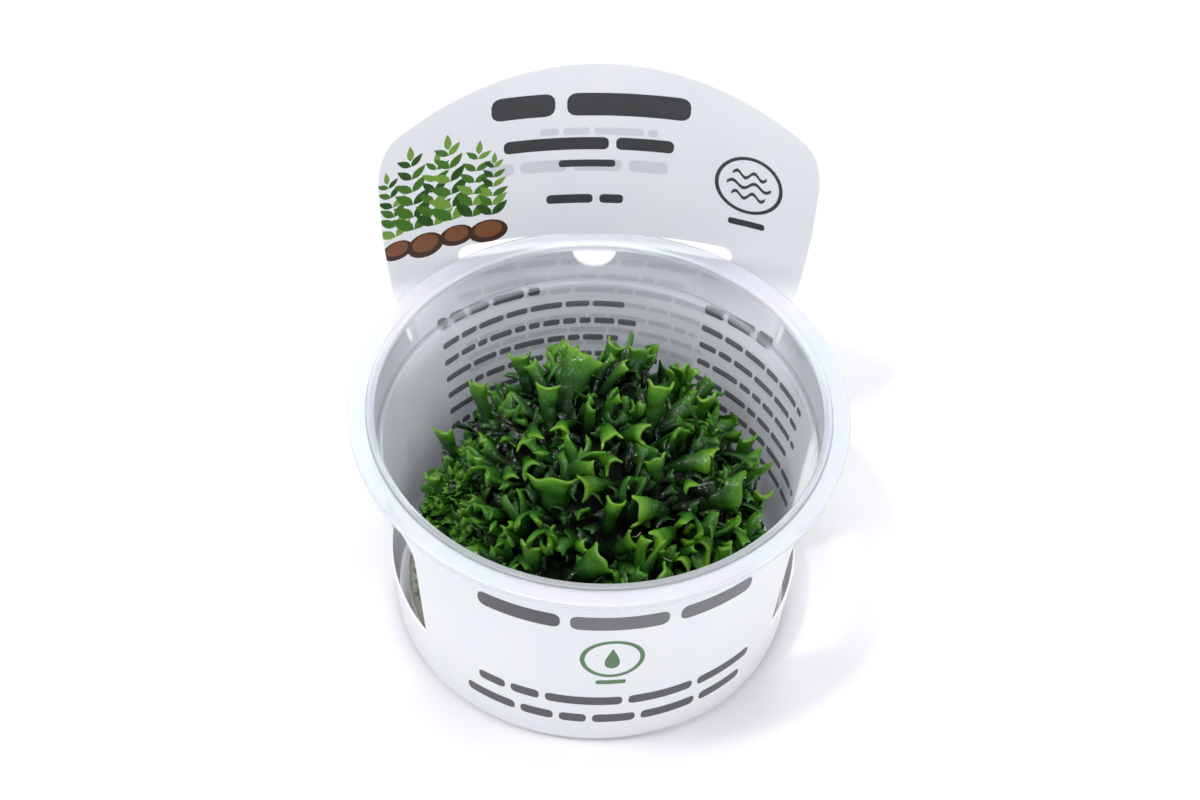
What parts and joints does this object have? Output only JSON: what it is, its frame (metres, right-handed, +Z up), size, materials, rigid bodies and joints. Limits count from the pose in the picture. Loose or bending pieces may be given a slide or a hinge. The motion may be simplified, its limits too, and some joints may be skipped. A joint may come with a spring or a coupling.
{
  "type": "tissue cultured aquatic liverwort in tub",
  "caption": "Mound of green, fork-tipped liverwort thalli grown in a clear round tub with a flanged rim, wrapped in a white sleeve with side windows and a tall arched header.",
  "frame": {"origin": "centre of the tub's flat base, on the surface it stands on", "axes": "+Z up along the tub's axis; the header stands at +Y and leans back to +Y, the sleeve's front faces -Y, +X is to the right seen from the front"},
  "size_m": [0.0996, 0.1001, 0.1022],
  "materials": {
    "tub": "clear moulded plastic, glossy",
    "sleeve": "white printed sheet, semi-gloss, die-cut",
    "gel": "pale translucent jelly, wet",
    "mat": "dark wet plant tissue",
    "thallus": "waxy translucent green plant tissue, wet sheen"
  },
  "bodies": {
    "root": {"tub": "tub", "sleeve": "sleeve", "growth_gel": "gel", "thallus_mat": "mat", "thallus_01": "thallus", "thallus_02": "thallus", "thallus_03": "thallus", "thallus_04": "thallus", "thallus_05": "thallus", "thallus_06": "thallus", "thallus_07": "thallus", "thallus_08": "thallus", "thallus_09": "thallus", "thallus_10": "thallus", "thallus_11": "thallus", "thallus_12": "thallus", "thallus_13": "thallus", "thallus_14": "thallus", "thallus_15": "thallus", "thallus_16": "thallus", "thallus_17": "thallus", "thallus_18": "thallus", "thallus_19": "thallus", "thallus_20": "thallus", "thallus_21": "thallus", "thallus_22": "thallus", "thallus_23": "thallus", "thallus_24": "thallus", "thallus_25": "thallus", "thallus_26": "thallus", "thallus_27": "thallus", "thallus_28": "thallus", "thallus_29": "thallus", "thallus_30": "thallus", "thallus_31": "thallus", "thallus_32": "thallus", "thallus_33": "thallus", "thallus_34": "thallus", "thallus_35": "thallus", "thallus_36": "thallus", "thallus_37": "thallus", "thallus_38": "thallus"}
  },
  "joints": []
}
